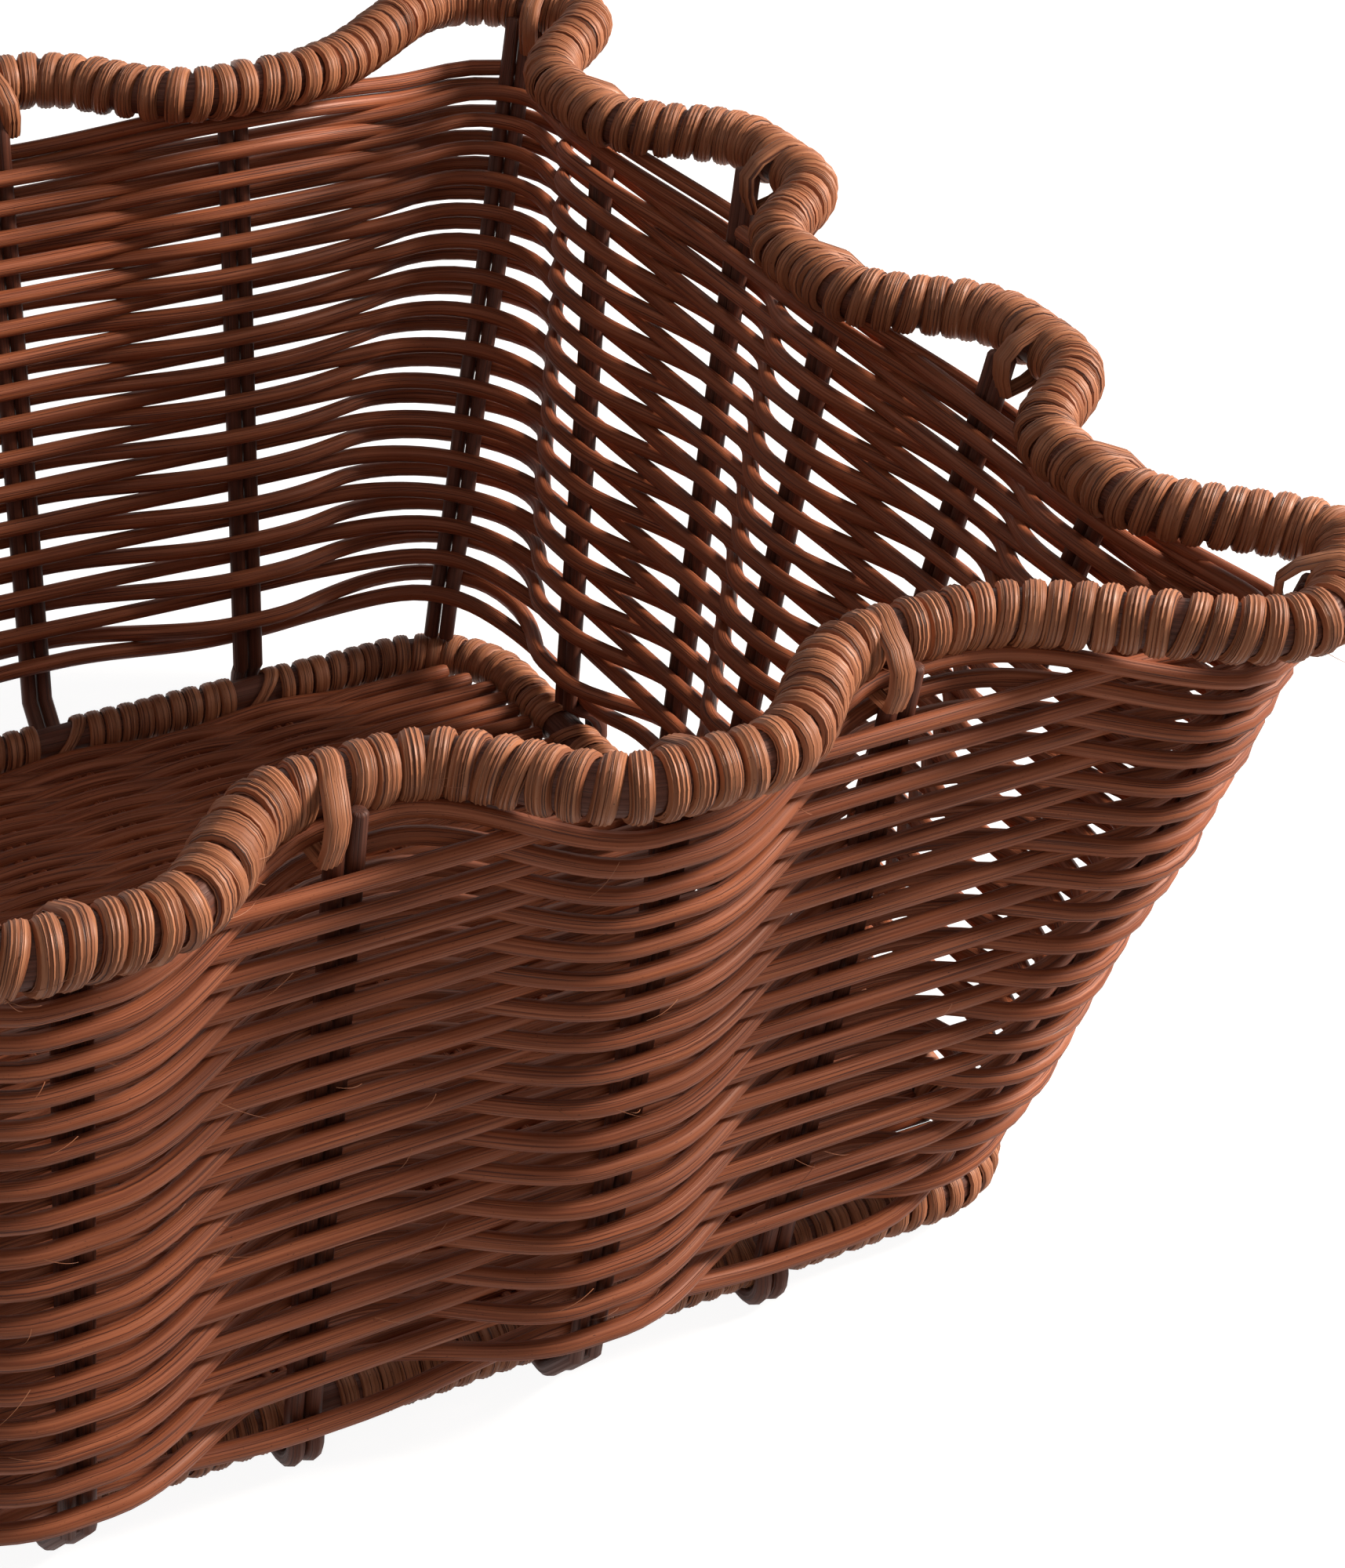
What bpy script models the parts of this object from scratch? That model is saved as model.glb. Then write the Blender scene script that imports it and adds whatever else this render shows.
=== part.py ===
# Scalloped rattan basket, 33 x 27 x 13 cm. Two round rods chase each other round 24 pairs of
# stakes in plain weave, between a rounded foot hoop and a thick wrapped rim. The rim is woven
# through the stake tops too, and that is what gives it its scallops.
# Metres, +Z up, the origin on the ground under the middle of the basket, +X along the long side.

import math

import bmesh
import bpy
from mathutils import Vector
from mathutils.geometry import interpolate_bezier

# Outline of the wall's middle surface on the ground, and at the height of the rim's middle
BASE_LENGTH = 0.260
BASE_WIDTH = 0.205
BASE_CORNER_RADIUS = 0.044
TOP_LENGTH = 0.299
TOP_WIDTH = 0.238
TOP_CORNER_RADIUS = 0.006
RIM_HEIGHT = 0.126

# The hoop's middle, how far it is inside that outline on the ground, and its own corners
HOOP_INSET_LENGTH = 0.0015
HOOP_INSET_WIDTH = 0.0073
HOOP_CORNER_RADIUS = 0.018

# Rods, over their bark
STAKE_DIAMETER = 0.0028
WEAVER_DIAMETER = 0.00265
RIM_DIAMETER = 0.010
HOOP_DIAMETER = 0.0085

# Stakes: pairs on each side, an odd count without the pair at each corner, the straight wall
# left on the ground between a side's last pair and the corner's bend, and how much further
# apart the pairs are at the rim than on the ground
LONG_SIDE_PAIRS = 5
SHORT_SIDE_PAIRS = 5
LONG_SIDE_END = 0.00035
SHORT_SIDE_END = 0.00125
LONG_SIDE_SPREAD = 1.073
SHORT_SIDE_SPREAD = 1.470
STAKE_ABOVE_RIM_MIDDLE = 0.002
SIDE_TAIL = 0.012
CORNER_TAIL = 0.004

# Weave. The first round of weaver A climbs this many times as much as the others
FIRST_ROW_HEIGHT = 0.012
GAP_UNDER_RIM = 0.0045
FIRST_ROUND_CLIMBS = 2

# Floor
MAT_THICKNESS = 0.0054
MAT_RIB_DEPTH = 0.0008

# Between two pieces that touch
CLEARANCE = 0.0003

# What follows from them
STAKE_RADIUS = STAKE_DIAMETER / 2
WEAVER_RADIUS = WEAVER_DIAMETER / 2
RIM_RADIUS = RIM_DIAMETER / 2
HOOP_RADIUS = HOOP_DIAMETER / 2
ROW_SPACING = WEAVER_DIAMETER + CLEARANCE
CLIMB = 2 * ROW_SPACING
STAKE_OFFSET = STAKE_RADIUS + WEAVER_RADIUS + CLEARANCE
WEAVE_OFFSET = 2 * STAKE_OFFSET
RIM_OFFSET = STAKE_OFFSET + STAKE_RADIUS + RIM_RADIUS + CLEARANCE
PAIR_HALF_GAP = STAKE_RADIUS + CLEARANCE / 2
PAIR_HALF_WIDTH = PAIR_HALF_GAP + STAKE_RADIUS + CLEARANCE
CORNER_HALF_WIDTH = PAIR_HALF_WIDTH + STAKE_RADIUS
RIM_HALF_REST = PAIR_HALF_WIDTH + RIM_RADIUS / 2
STAKE_FLAT = STAKE_RADIUS * math.cos(math.pi / 6)
HOOP_HEIGHT = 2 * STAKE_FLAT + HOOP_RADIUS + CLEARANCE
STAKE_BEND = HOOP_RADIUS + STAKE_RADIUS + CLEARANCE
HALF_STRAIGHT_X = BASE_LENGTH / 2 - BASE_CORNER_RADIUS
HALF_STRAIGHT_Y = BASE_WIDTH / 2 - BASE_CORNER_RADIUS
LONG_SIDE_REACH = HALF_STRAIGHT_X - LONG_SIDE_END - PAIR_HALF_WIDTH
SHORT_SIDE_REACH = HALF_STRAIGHT_Y - SHORT_SIDE_END - PAIR_HALF_WIDTH
LONG_SIDE_SPACING = 2 * LONG_SIDE_REACH / (LONG_SIDE_PAIRS - 1)
SHORT_SIDE_SPACING = 2 * SHORT_SIDE_REACH / (SHORT_SIDE_PAIRS - 1)
CORNER_ARC = BASE_CORNER_RADIUS * math.pi / 2
PERIMETER = 4 * (HALF_STRAIGHT_X + HALF_STRAIGHT_Y + CORNER_ARC)

# Outlines: half length, half width, corner radius, and the spread of the pairs on both sides
BASE_OUTLINE = (BASE_LENGTH / 2, BASE_WIDTH / 2, BASE_CORNER_RADIUS, 1, 1)
TOP_OUTLINE = (TOP_LENGTH / 2, TOP_WIDTH / 2, TOP_CORNER_RADIUS, LONG_SIDE_SPREAD, SHORT_SIDE_SPREAD)
HOOP_OUTLINE = (
    BASE_LENGTH / 2 - HOOP_INSET_LENGTH, BASE_WIDTH / 2 - HOOP_INSET_WIDTH, HOOP_CORNER_RADIUS, 1, 1,
)

# Straight pieces in the bend that a stake makes round the hoop
STAKE_BEND_STEPS = 4
# How far above the hoop's middle a stake leaves the wall for the hoop, in parts of that bend
LONG_SIDE_TURN = 0.53
END_TURN = 1.05
# Shares of a corner's arc where a rod that follows it has a point
ARC_SHARES = (0, 0.25, 0.5, 0.75, 1)
# The rim from one stake pair to the next: points, and its handles as a share of the way
RIM_SPAN_POINTS = 5
RIM_EASE = 0.4


def spread_out(along, reach, straight, spread, new_straight):
    """Where a place this far from a side's middle on the ground comes to on another outline."""
    paired = min(abs(along), reach) * spread
    beyond = max(abs(along) - reach, 0) / (straight - reach)
    return math.copysign(paired + beyond * (new_straight - reach * spread), along)


def outline_frame(outline, distance):
    """Point and outward direction on an outline, where it corresponds to a place this far round
    the ground outline from the middle of the +X side, anticlockwise from above."""
    half_length, half_width, radius, long_spread, short_spread = outline
    left = (distance + HALF_STRAIGHT_Y) % PERIMETER
    outward = Vector((1, 0, 0))
    short_side = (half_length, half_width, HALF_STRAIGHT_Y, SHORT_SIDE_REACH, short_spread)
    long_side = (half_width, half_length, HALF_STRAIGHT_X, LONG_SIDE_REACH, long_spread)
    for out, half, straight, reach, spread in (short_side, long_side, short_side, long_side):
        heading = Vector((-outward.y, outward.x, 0))
        if left <= 2 * straight:
            along = spread_out(left - straight, reach, straight, spread, half - radius)
            return outward * out + heading * along, outward
        left -= 2 * straight
        if left <= CORNER_ARC:
            turn = left / BASE_CORNER_RADIUS
            direction = outward * math.cos(turn) + heading * math.sin(turn)
            centre = outward * (out - radius) + heading * (half - radius)
            return centre + direction * radius, direction
        left -= CORNER_ARC
        outward = heading
    return outline_frame(outline, -HALF_STRAIGHT_Y)


def wall_point(distance, height, offset, across=0, drop=0):
    """Point this far outside the leaning wall's middle surface at this height, this far along
    it, and then lower by this drop."""
    ground, outward = outline_frame(BASE_OUTLINE, distance)
    above, _ = outline_frame(TOP_OUTLINE, distance)
    along = Vector((-outward.y, outward.x, 0))
    place = ground + (above - ground) * height / RIM_HEIGHT + outward * offset + along * across
    place.z = height - drop
    return place


def side_middles():
    """Where the four sides' middles are on the outline, with each side's pairs and spacing."""
    quarter = PERIMETER / 4
    return (
        (0, SHORT_SIDE_PAIRS, SHORT_SIDE_SPACING),
        (quarter, LONG_SIDE_PAIRS, LONG_SIDE_SPACING),
        (2 * quarter, SHORT_SIDE_PAIRS, SHORT_SIDE_SPACING),
        (3 * quarter, LONG_SIDE_PAIRS, LONG_SIDE_SPACING),
    )


def corner_middles():
    first = HALF_STRAIGHT_Y + CORNER_ARC / 2
    second = first + CORNER_ARC + 2 * HALF_STRAIGHT_X
    return (first, second, first + PERIMETER / 2, second + PERIMETER / 2)


def stake_pairs():
    """Every stake pair, in order round the basket: (place on the outline, +1 out or -1 in, name)."""
    names = ("right", "back", "left", "front")
    corner_names = ("back_right", "back_left", "front_left", "front_right")
    pairs = []
    for name, (middle, count, spacing) in zip(names, side_middles()):
        for number in range(count):
            place = middle + (number - (count - 1) / 2) * spacing
            side = 1 if number % 2 else -1
            pairs.append((place % PERIMETER, side, f"stake_{name}_{number + 1}"))
    for name, place in zip(corner_names, corner_middles()):
        pairs.append((place, 1, f"stake_corner_{name}"))
    return sorted(pairs)


def corner_starts():
    return [middle - CORNER_ARC / 2 for middle in corner_middles()]


def make_material(name, color, roughness):
    material = bpy.data.materials.new(name)
    material.use_nodes = True
    shader = material.node_tree.nodes["Principled BSDF"]
    shader.inputs["Base Color"].default_value = (*color, 1)
    shader.inputs["Roughness"].default_value = roughness
    shader.inputs["Metallic"].default_value = 0
    material.diffuse_color = (*color, 1)
    return material


def make_rod(name, points, radius, material, collection, sides=4, closed=False, twist="Z_UP"):
    """A round rod, faceted, along these points."""
    curve = bpy.data.curves.new(name, "CURVE")
    curve.dimensions = "3D"
    curve.twist_mode = twist
    curve.bevel_depth = radius
    curve.bevel_resolution = (sides - 4) // 2
    curve.use_fill_caps = not closed
    spline = curve.splines.new("POLY")
    spline.points.add(len(points) - 1)
    for spline_point, place in zip(spline.points, points):
        spline_point.co = (*place, 1)
    spline.use_cyclic_u = closed
    spline.use_smooth = True
    rod = bpy.data.objects.new(name, curve)
    rod.data.materials.append(material)
    collection.objects.link(rod)
    return rod


def stake_path(place, side, across, tail, turn_share):
    """From the rod's tail, out under the hoop, round its outside and up the wall, to its top."""
    hoop_place, outward = outline_frame(HOOP_OUTLINE, place)
    from_wall = (hoop_place - wall_point(place, HOOP_HEIGHT, 0)).dot(outward)
    rise = STAKE_BEND * turn_share
    turn_place = wall_point(place, HOOP_HEIGHT + rise, side * STAKE_OFFSET, across)
    outside = (turn_place - hoop_place).dot(outward)
    nearness = min(STAKE_BEND / math.hypot(outside, rise), 1)
    first = math.atan2(rise, outside) - math.acos(nearness)
    path = [wall_point(place, RIM_HEIGHT + STAKE_ABOVE_RIM_MIDDLE, side * STAKE_OFFSET, across)]
    path.append(turn_place)
    for step in range(STAKE_BEND_STEPS + 1):
        turn = first - step / STAKE_BEND_STEPS * (first + math.pi / 2)
        offset = from_wall + STAKE_BEND * math.cos(turn)
        drop = min(-STAKE_BEND * math.sin(turn), HOOP_HEIGHT - STAKE_FLAT)
        path.append(wall_point(place, HOOP_HEIGHT, offset, across, drop))
    path.append(wall_point(place, HOOP_HEIGHT, from_wall - tail, across, drop))
    return path[::-1]


def make_stakes(material, collection):
    """Two six-sided rods side by side at every place, their tails flat on the ground. Each rod's
    sides run on from its tail without a twist, so its faces stay flat."""
    for place, side, name in stake_pairs():
        tail = CORNER_TAIL if name.startswith("stake_corner") else SIDE_TAIL
        turn_share = LONG_SIDE_TURN if name.startswith(("stake_front", "stake_back")) else END_TURN
        for letter, across in (("a", -PAIR_HALF_GAP), ("b", PAIR_HALF_GAP)):
            path = stake_path(place, side, across, tail, turn_share)
            rod_name = f"{name}_{letter}"
            make_rod(rod_name, path, STAKE_RADIUS, material, collection, sides=6, twist="MINIMUM")


def straight_weaver_marks():
    """Weaver A runs straight between the stakes, so it has points only on the corners."""
    marks = []
    for start in corner_starts():
        marks += [(start + share * CORNER_ARC, 0, 0) for share in ARC_SHARES]
    return marks


def wavy_weaver_marks():
    """Weaver B passes inside the inner pairs and outside the outer ones, flat over each pair,
    and a little beyond it at a corner, where the walls turn away."""
    marks = []
    pairs = stake_pairs()
    for index, (place, side, name) in enumerate(pairs):
        at_corner = name.startswith("stake_corner")
        half_width = CORNER_HALF_WIDTH if at_corner else PAIR_HALF_WIDTH
        marks.append((place, -half_width, side * WEAVE_OFFSET))
        marks.append((place, half_width, side * WEAVE_OFFSET))
        if at_corner:
            before = pairs[index - 1][0]
            after = pairs[(index + 1) % len(pairs)][0]
            marks.append(((before + place) / 2, 0, 0))
            marks.append(((place + after) / 2, 0, 0))
    return marks


def weaver_path(marks, start, start_height, loops, first_climbs=1):
    """A climbing path through the marks of one round, for this many rounds."""
    length = loops * PERIMETER
    stops = [(0, 0, 0), (PERIMETER, 0, 0), (length, 0, 0)]
    for turn in range(-1, loops + 2):
        for place, across, offset in marks:
            along = turn * PERIMETER + place - start
            if 0 < along + across < length:
                stops.append((along, across, offset))
    stops.sort(key=lambda stop: stop[0] + stop[1])
    path = []
    for along, across, offset in stops:
        rounds = (along + across) / PERIMETER
        climbs = rounds + min(rounds, 1) * (first_climbs - 1)
        path.append(wall_point(start + along, start_height + CLIMB * climbs, offset, across))
    return path


def make_weavers(material, collection):
    """Both weavers start in the front's first gap, B one row under the start of A's second
    round, so that they lie one on the other from there on."""
    start = PERIMETER * 3 / 4 - LONG_SIDE_SPACING * 3 / 2
    top = RIM_HEIGHT - RIM_RADIUS - GAP_UNDER_RIM
    climbs = math.floor((top - WEAVER_RADIUS - FIRST_ROW_HEIGHT) / CLIMB)
    loops = climbs - FIRST_ROUND_CLIMBS
    marks = straight_weaver_marks()
    path = weaver_path(marks, start, FIRST_ROW_HEIGHT, loops + 1, FIRST_ROUND_CLIMBS)
    make_rod("weaver_a", path, WEAVER_RADIUS, material, collection)
    second_height = FIRST_ROW_HEIGHT + FIRST_ROUND_CLIMBS * CLIMB - ROW_SPACING
    path = weaver_path(wavy_weaver_marks(), start, second_height, loops)
    make_rod("weaver_b", path, WEAVER_RADIUS, material, collection)


def rim_rest(place, side):
    """The ends of the straight piece of rim that lies against a stake pair."""
    ends = (-RIM_HALF_REST, RIM_HALF_REST)
    return [wall_point(place, RIM_HEIGHT, side * RIM_OFFSET, across) for across in ends]


def make_rim(material, collection):
    """The thick wrapped rod, woven inside the inner pairs and outside the outer ones."""
    pairs = stake_pairs()
    path = []
    for index, (place, side, _) in enumerate(pairs):
        next_place, next_side, _ = pairs[(index + 1) % len(pairs)]
        rest, start = rim_rest(place, side)
        end, next_rest = rim_rest(next_place, next_side)
        handle = (end - start).length * RIM_EASE
        leaving = start + (start - rest).normalized() * handle
        arriving = end - (next_rest - end).normalized() * handle
        path.append(rest)
        path += interpolate_bezier(start, leaving, arriving, end, RIM_SPAN_POINTS)[:-1]
    return make_rod("wrapped_rim", path, RIM_RADIUS, material, collection, sides=6, closed=True)


def make_hoop(material, collection):
    """The wrapped hoop that the stakes turn under."""
    path = []
    for start in corner_starts():
        for share in ARC_SHARES:
            place, _ = outline_frame(HOOP_OUTLINE, start + share * CORNER_ARC)
            path.append((place.x, place.y, HOOP_HEIGHT))
    return make_rod("wrapped_foot_hoop", path, HOOP_RADIUS, material, collection, sides=8, closed=True)


def outline_prism(name, inset, bottom, top, material, collection):
    """A flat prism with the outline of the hoop's middle, this far inside it."""
    curve = bpy.data.curves.new(name, "CURVE")
    curve.dimensions = "2D"
    curve.fill_mode = "BOTH"
    curve.extrude = (top - bottom) / 2
    places = []
    for start in corner_starts():
        for share in ARC_SHARES:
            point, outward = outline_frame(HOOP_OUTLINE, start + share * CORNER_ARC)
            places.append(point - outward * inset)
    spline = curve.splines.new("POLY")
    spline.points.add(len(places) - 1)
    for spline_point, place in zip(spline.points, places):
        spline_point.co = (*place, 1)
    spline.use_cyclic_u = True
    source = bpy.data.objects.new(name, curve)
    source.location.z = (top + bottom) / 2
    collection.objects.link(source)
    bpy.context.view_layer.update()
    graph = bpy.context.evaluated_depsgraph_get()
    mesh = bpy.data.meshes.new_from_object(source.evaluated_get(graph))
    prism = bpy.data.objects.new(name, mesh)
    prism.matrix_world = source.matrix_world
    bpy.data.objects.remove(source)
    prism.name = name
    prism.data.materials.clear()
    prism.data.materials.append(material)
    collection.objects.link(prism)
    shape = bmesh.new()
    shape.from_mesh(mesh)
    bmesh.ops.remove_doubles(shape, verts=shape.verts, dist=CLEARANCE / 100)
    bmesh.ops.recalc_face_normals(shape, faces=shape.faces)
    shape.to_mesh(mesh)
    shape.free()
    return prism


def ribbed_slab(name, bottom, top, material, collection):
    """A slab with ridges along X on both faces, one for each row of the floor's weave."""
    ribs = math.ceil(BASE_WIDTH / ROW_SPACING)
    first = -ribs * ROW_SPACING / 2
    upper = []
    lower = []
    for rib in range(ribs):
        valley = first + rib * ROW_SPACING
        crest = valley + ROW_SPACING / 2
        upper += [(valley, top - MAT_RIB_DEPTH), (crest, top)]
        lower += [(valley, bottom + MAT_RIB_DEPTH), (crest, bottom)]
    upper.append((-first, top - MAT_RIB_DEPTH))
    lower.append((-first, bottom + MAT_RIB_DEPTH))
    shape = bmesh.new()
    profile = [shape.verts.new((-BASE_LENGTH / 2, y, z)) for y, z in upper + lower[::-1]]
    face = shape.faces.new(profile)
    swept = bmesh.ops.extrude_face_region(shape, geom=[face])
    moved = [item for item in swept["geom"] if isinstance(item, bmesh.types.BMVert)]
    bmesh.ops.translate(shape, verts=moved, vec=(BASE_LENGTH, 0, 0))
    bmesh.ops.recalc_face_normals(shape, faces=shape.faces)
    mesh = bpy.data.meshes.new(name)
    shape.to_mesh(mesh)
    shape.free()
    slab = bpy.data.objects.new(name, mesh)
    slab.data.materials.append(material)
    collection.objects.link(slab)
    return slab


def make_floor(material, collection, cutters):
    """The woven floor as one mat on the stakes' tails, inside the hoop."""
    inset = HOOP_RADIUS + CLEARANCE
    bottom = 2 * STAKE_FLAT + CLEARANCE
    top = bottom + MAT_THICKNESS
    floor = ribbed_slab("woven_floor", bottom, top, material, collection)
    below = bottom - MAT_THICKNESS
    above = top + MAT_THICKNESS
    outline = outline_prism("floor_outline", inset, below, above, material, cutters)
    outline.hide_render = True
    outline.display_type = "WIRE"
    trim = floor.modifiers.new("outline", "BOOLEAN")
    trim.operation = "INTERSECT"
    trim.object = outline
    return floor


def main():
    for obj in list(bpy.data.objects):
        bpy.data.objects.remove(obj, do_unlink=True)
    basket = bpy.data.collections.new("scalloped_rattan_basket")
    cutters = bpy.data.collections.new("cutters")
    bpy.context.scene.collection.children.link(basket)
    bpy.context.scene.collection.children.link(cutters)
    cutters.hide_render = True
    woven_rattan = make_material("woven_rattan", (0.22, 0.072, 0.038), 0.55)
    dark_rattan = make_material("stake_rattan", (0.060, 0.017, 0.010), 0.60)
    wrapping = make_material("rattan_wrapping", (0.45, 0.20, 0.11), 0.50)
    make_rim(wrapping, basket)
    make_hoop(wrapping, basket)
    make_stakes(dark_rattan, basket)
    make_weavers(woven_rattan, basket)
    make_floor(woven_rattan, basket, cutters)


main()
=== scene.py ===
# Looks of the scalloped rattan basket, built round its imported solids
import math

import bpy
import numpy as np
from mathutils import Matrix, Vector


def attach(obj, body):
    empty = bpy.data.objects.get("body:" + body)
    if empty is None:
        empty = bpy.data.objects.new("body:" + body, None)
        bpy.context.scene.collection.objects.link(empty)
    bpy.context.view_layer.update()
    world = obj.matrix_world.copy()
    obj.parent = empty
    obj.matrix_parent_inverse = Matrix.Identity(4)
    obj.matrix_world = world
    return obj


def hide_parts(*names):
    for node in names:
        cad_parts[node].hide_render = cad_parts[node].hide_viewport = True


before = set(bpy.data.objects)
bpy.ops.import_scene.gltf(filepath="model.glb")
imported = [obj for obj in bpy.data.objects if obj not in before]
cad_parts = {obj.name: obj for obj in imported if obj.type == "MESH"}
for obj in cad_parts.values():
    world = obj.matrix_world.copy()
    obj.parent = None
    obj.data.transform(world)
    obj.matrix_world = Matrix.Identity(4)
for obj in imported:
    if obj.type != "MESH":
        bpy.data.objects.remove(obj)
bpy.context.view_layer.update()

# The wall as the solids have it. Outlines are half length, half width, corner radius, and how
# much further apart the stake pairs of a long and a short side are there than on the ground
wall = {
    "ground": (0.130, 0.1025, 0.044, 1.0, 1.0),
    "rim": (0.1495, 0.119, 0.006, 1.073, 1.470),
    "hoop": (0.1293, 0.0959, 0.018, 1.0, 1.0),
    "rimHeight": 0.126,
    "pairsPerSide": 5,
    "longEnd": 0.00035,  # straight wall on the ground past the last pair of a long side
    "shortEnd": 0.00125,
    "pairHalfWidth": 0.00325,
    "cornerHalfWidth": 0.00465,
    "stakeOffset": 0.003025,  # of a stake's middle from the wall's middle surface
    "cornerSwell": 0.0026,  # how far the rows swell out at the corners, high up
    "swellStarts": (0.055, 0.080),  # heights between which the swell grows
    "cornerPinch": 0.0026,  # how far they pull in at the corners' foot
    "pinchEnds": (0.018, 0.034),
    "cornerLift": 0.0030,  # how far they rise there
    "liftEnds": (0.022, 0.045),
    "swellReach": 0.026,  # of all three, along the wall from a corner's middle
    "frontEnds": (0.125, 0.170),  # distances from the front's middle
}
wall["halfX"] = wall["ground"][0] - wall["ground"][2]
wall["halfY"] = wall["ground"][1] - wall["ground"][2]
wall["reachX"] = wall["halfX"] - wall["longEnd"] - wall["pairHalfWidth"]
wall["reachY"] = wall["halfY"] - wall["shortEnd"] - wall["pairHalfWidth"]
wall["arc"] = wall["ground"][2] * math.pi / 2
wall["round"] = 4 * (wall["halfX"] + wall["halfY"] + wall["arc"])


def smoothed(share):
    return share * share * (3 - 2 * share)


def wander(distance, every, amount, seed):  # a smooth drift with a new value each `every` metres
    place = np.asarray(distance) / every
    low = np.floor(place).astype(int)
    share = smoothed(place - low)
    first = low.min()
    knots = np.random.RandomState(seed).uniform(-amount, amount, low.max() - first + 2)
    return knots[low - first] * (1 - share) + knots[low - first + 1] * share


def eased(value, start, end):
    return smoothed(np.clip((np.asarray(value, float) - start) / (end - start), 0, 1))


def outline(shape, place):  # points on an outline, for places round the ground's, and the ways out
    halfLength, halfWidth, radius, longSpread, shortSpread = shape
    left = (np.asarray(place, float) + wall["halfY"]) % wall["round"]
    point = np.zeros((len(left), 3))
    outward = np.zeros((len(left), 3))
    shortSide = (halfLength, halfWidth, wall["halfY"], wall["reachY"], shortSpread)
    longSide = (halfWidth, halfLength, wall["halfX"], wall["reachX"], longSpread)
    way = np.array((1.0, 0.0))
    for out, half, straight, reach, spread in (shortSide, longSide, shortSide, longSide):
        heading = np.array((-way[1], way[0]))
        on = (left >= 0) & (left <= 2 * straight)
        along = left[on] - straight
        beyond = np.maximum(abs(along) - reach, 0) / (straight - reach)
        moved = np.minimum(abs(along), reach) * spread + beyond * (half - radius - reach * spread)
        point[on, :2] = way * out + heading * (np.sign(along) * moved)[:, None]
        outward[on, :2] = way
        left = left - 2 * straight
        on = (left > 0) & (left < wall["arc"])
        turn = left[on] / wall["ground"][2]
        aim = way * np.cos(turn)[:, None] + heading * np.sin(turn)[:, None]
        point[on, :2] = way * (out - radius) + heading * (half - radius) + aim * radius
        outward[on, :2] = aim
        left = left - wall["arc"]
        way = heading
    return point, outward


def rimRunKnots():  # places where the outlines' proportions change, and the rim's run up to each
    places = [-wall["halfY"]]
    runs = [0.0]
    _, _, radius, longSpread, shortSpread = wall["rim"]
    shortSide = (wall["rim"][1], wall["halfY"], wall["reachY"], shortSpread)
    longSide = (wall["rim"][0], wall["halfX"], wall["reachX"], longSpread)
    for half, straight, reach, spread in (shortSide, longSide, shortSide, longSide):
        end = half - radius - reach * spread
        steps = (straight - reach, 2 * reach, straight - reach, wall["arc"])
        for step, run in zip(steps, (end, 2 * reach * spread, end, radius * math.pi / 2)):
            places.append(places[-1] + step)
            runs.append(runs[-1] + run)
    return np.array(places), np.array(runs)


knotPlaces, knotRuns = rimRunKnots()


def runAt(place, height):  # how far round the wall a place is at this height
    place = np.asarray(place, float)
    turns = np.floor((place + wall["halfY"]) / wall["round"])
    rimRun = turns * knotRuns[-1] + np.interp(place - turns * wall["round"], knotPlaces, knotRuns)
    share = np.asarray(height) / wall["rimHeight"]
    return place * (1 - share) + rimRun * share


def placesBetween(start, end, height, step):  # places this far apart on the wall at this height
    loops = np.arange(math.floor(start / wall["round"]) - 1, math.ceil(end / wall["round"]) + 1)
    knots = np.concatenate([knotPlaces[:-1] + loop * wall["round"] for loop in loops])
    runs = runAt(knots, height)
    first, last = np.interp([start, end], knots, runs)
    return np.interp(np.linspace(first, last, max(2, int((last - first) / step))), runs, knots)


cornerPlaces = [wall["halfY"] + wall["arc"] / 2]
cornerPlaces.append(cornerPlaces[0] + wall["arc"] + 2 * wall["halfX"])
cornerPlaces += [place + wall["round"] / 2 for place in cornerPlaces]


def cornerWeight(place, height):
    place = np.asarray(place, float)
    weight = np.zeros(len(place))
    for corner in cornerPlaces:
        near = (place - corner + wall["round"] / 2) % wall["round"] - wall["round"] / 2
        gap = np.abs(runAt(corner + near, height) - runAt(corner, height))
        weight += np.cos(np.clip(gap / wall["swellReach"], 0, 1) * math.pi / 2) ** 2
    return weight


def cornerSwell(place, height):
    swell = wall["cornerSwell"] * eased(height, *wall["swellStarts"])
    pinch = wall["cornerPinch"] * (1 - eased(height, *wall["pinchEnds"]))
    return cornerWeight(place, height) * (swell - pinch)


def frontShare(place):  # 1 on the front and its corners, 0 on the other sides
    place = np.asarray(place, float)
    away = (place - wall["round"] / 4) % wall["round"] - wall["round"] / 2
    return 1 - eased(np.abs(away), *wall["frontEnds"])


def wallPoints(place, height, offset, swell=True):
    height = np.broadcast_to(height, len(place)).astype(float)
    ground, outward = outline(wall["ground"], place)
    above, _ = outline(wall["rim"], place)
    reach = np.broadcast_to(offset, len(place)) + (cornerSwell(place, height) if swell else 0)
    point = ground + (above - ground) * (height / wall["rimHeight"])[:, None]
    point += outward * reach[:, None]
    point[:, 2] = height
    return point


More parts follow.
